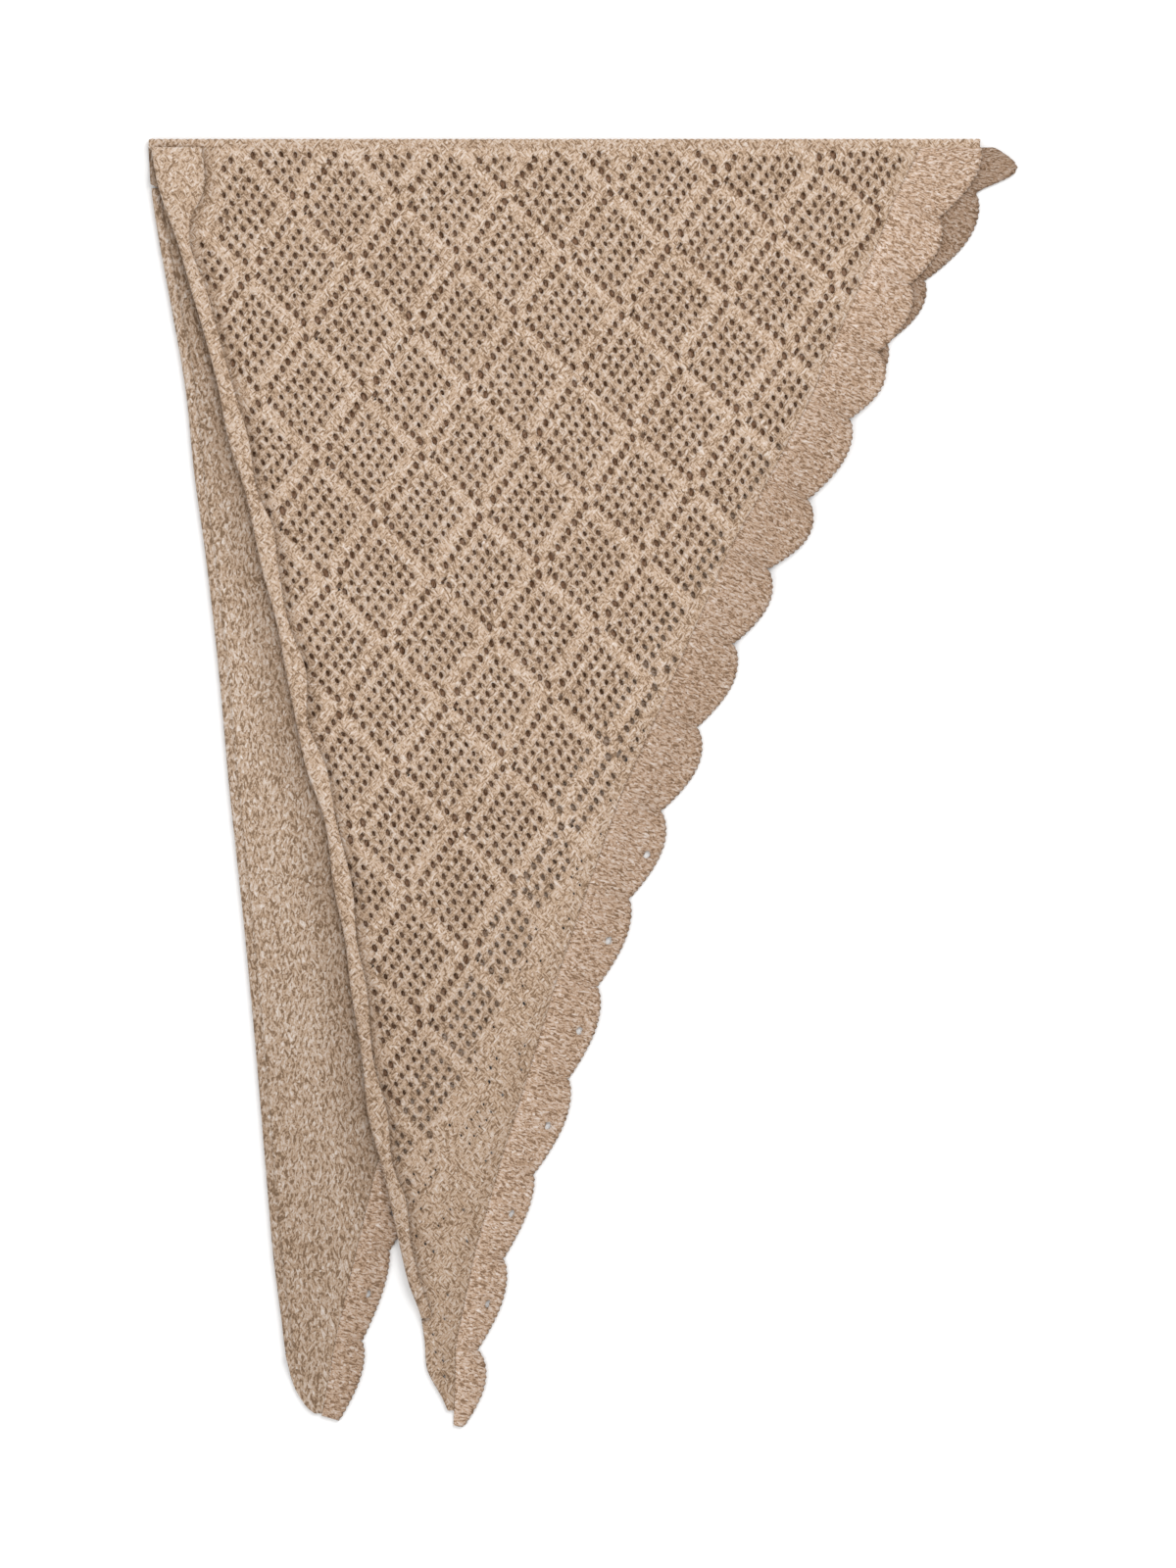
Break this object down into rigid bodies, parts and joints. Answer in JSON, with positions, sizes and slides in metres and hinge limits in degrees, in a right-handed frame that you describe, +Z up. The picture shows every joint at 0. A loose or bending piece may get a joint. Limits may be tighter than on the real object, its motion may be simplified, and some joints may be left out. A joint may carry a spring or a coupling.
{
  "type": "pointelle scarf",
  "caption": "Triangular knitted scarf with a diamond eyelet lattice and a scalloped border, folded in half and laid flat.",
  "frame": {"origin": "middle of the laid scarf's footprint, on the surface that it lies on", "axes": "+Z up from the surface, +Y towards the folded straight edge, away from the tails, +X towards the scalloped edge"},
  "size_m": [0.6014, 0.8935, 0.0132],
  "materials": {
    "lattice_knit": "beige and cream marl yarn, soft and matte",
    "wrong_side_knit": "the same yarn seen from its purl side, soft and matte",
    "border_knit": "the same yarn in close plain knit, slightly rosier at the rim"
  },
  "bodies": {
    "root": {"front_panel": "lattice_knit", "front_edge_roll": "lattice_knit", "top_fold": "lattice_knit", "front_border": "border_knit", "back_border": "border_knit", "back_panel": "wrong_side_knit", "back_edge_roll": "wrong_side_knit"}
  },
  "joints": []
}
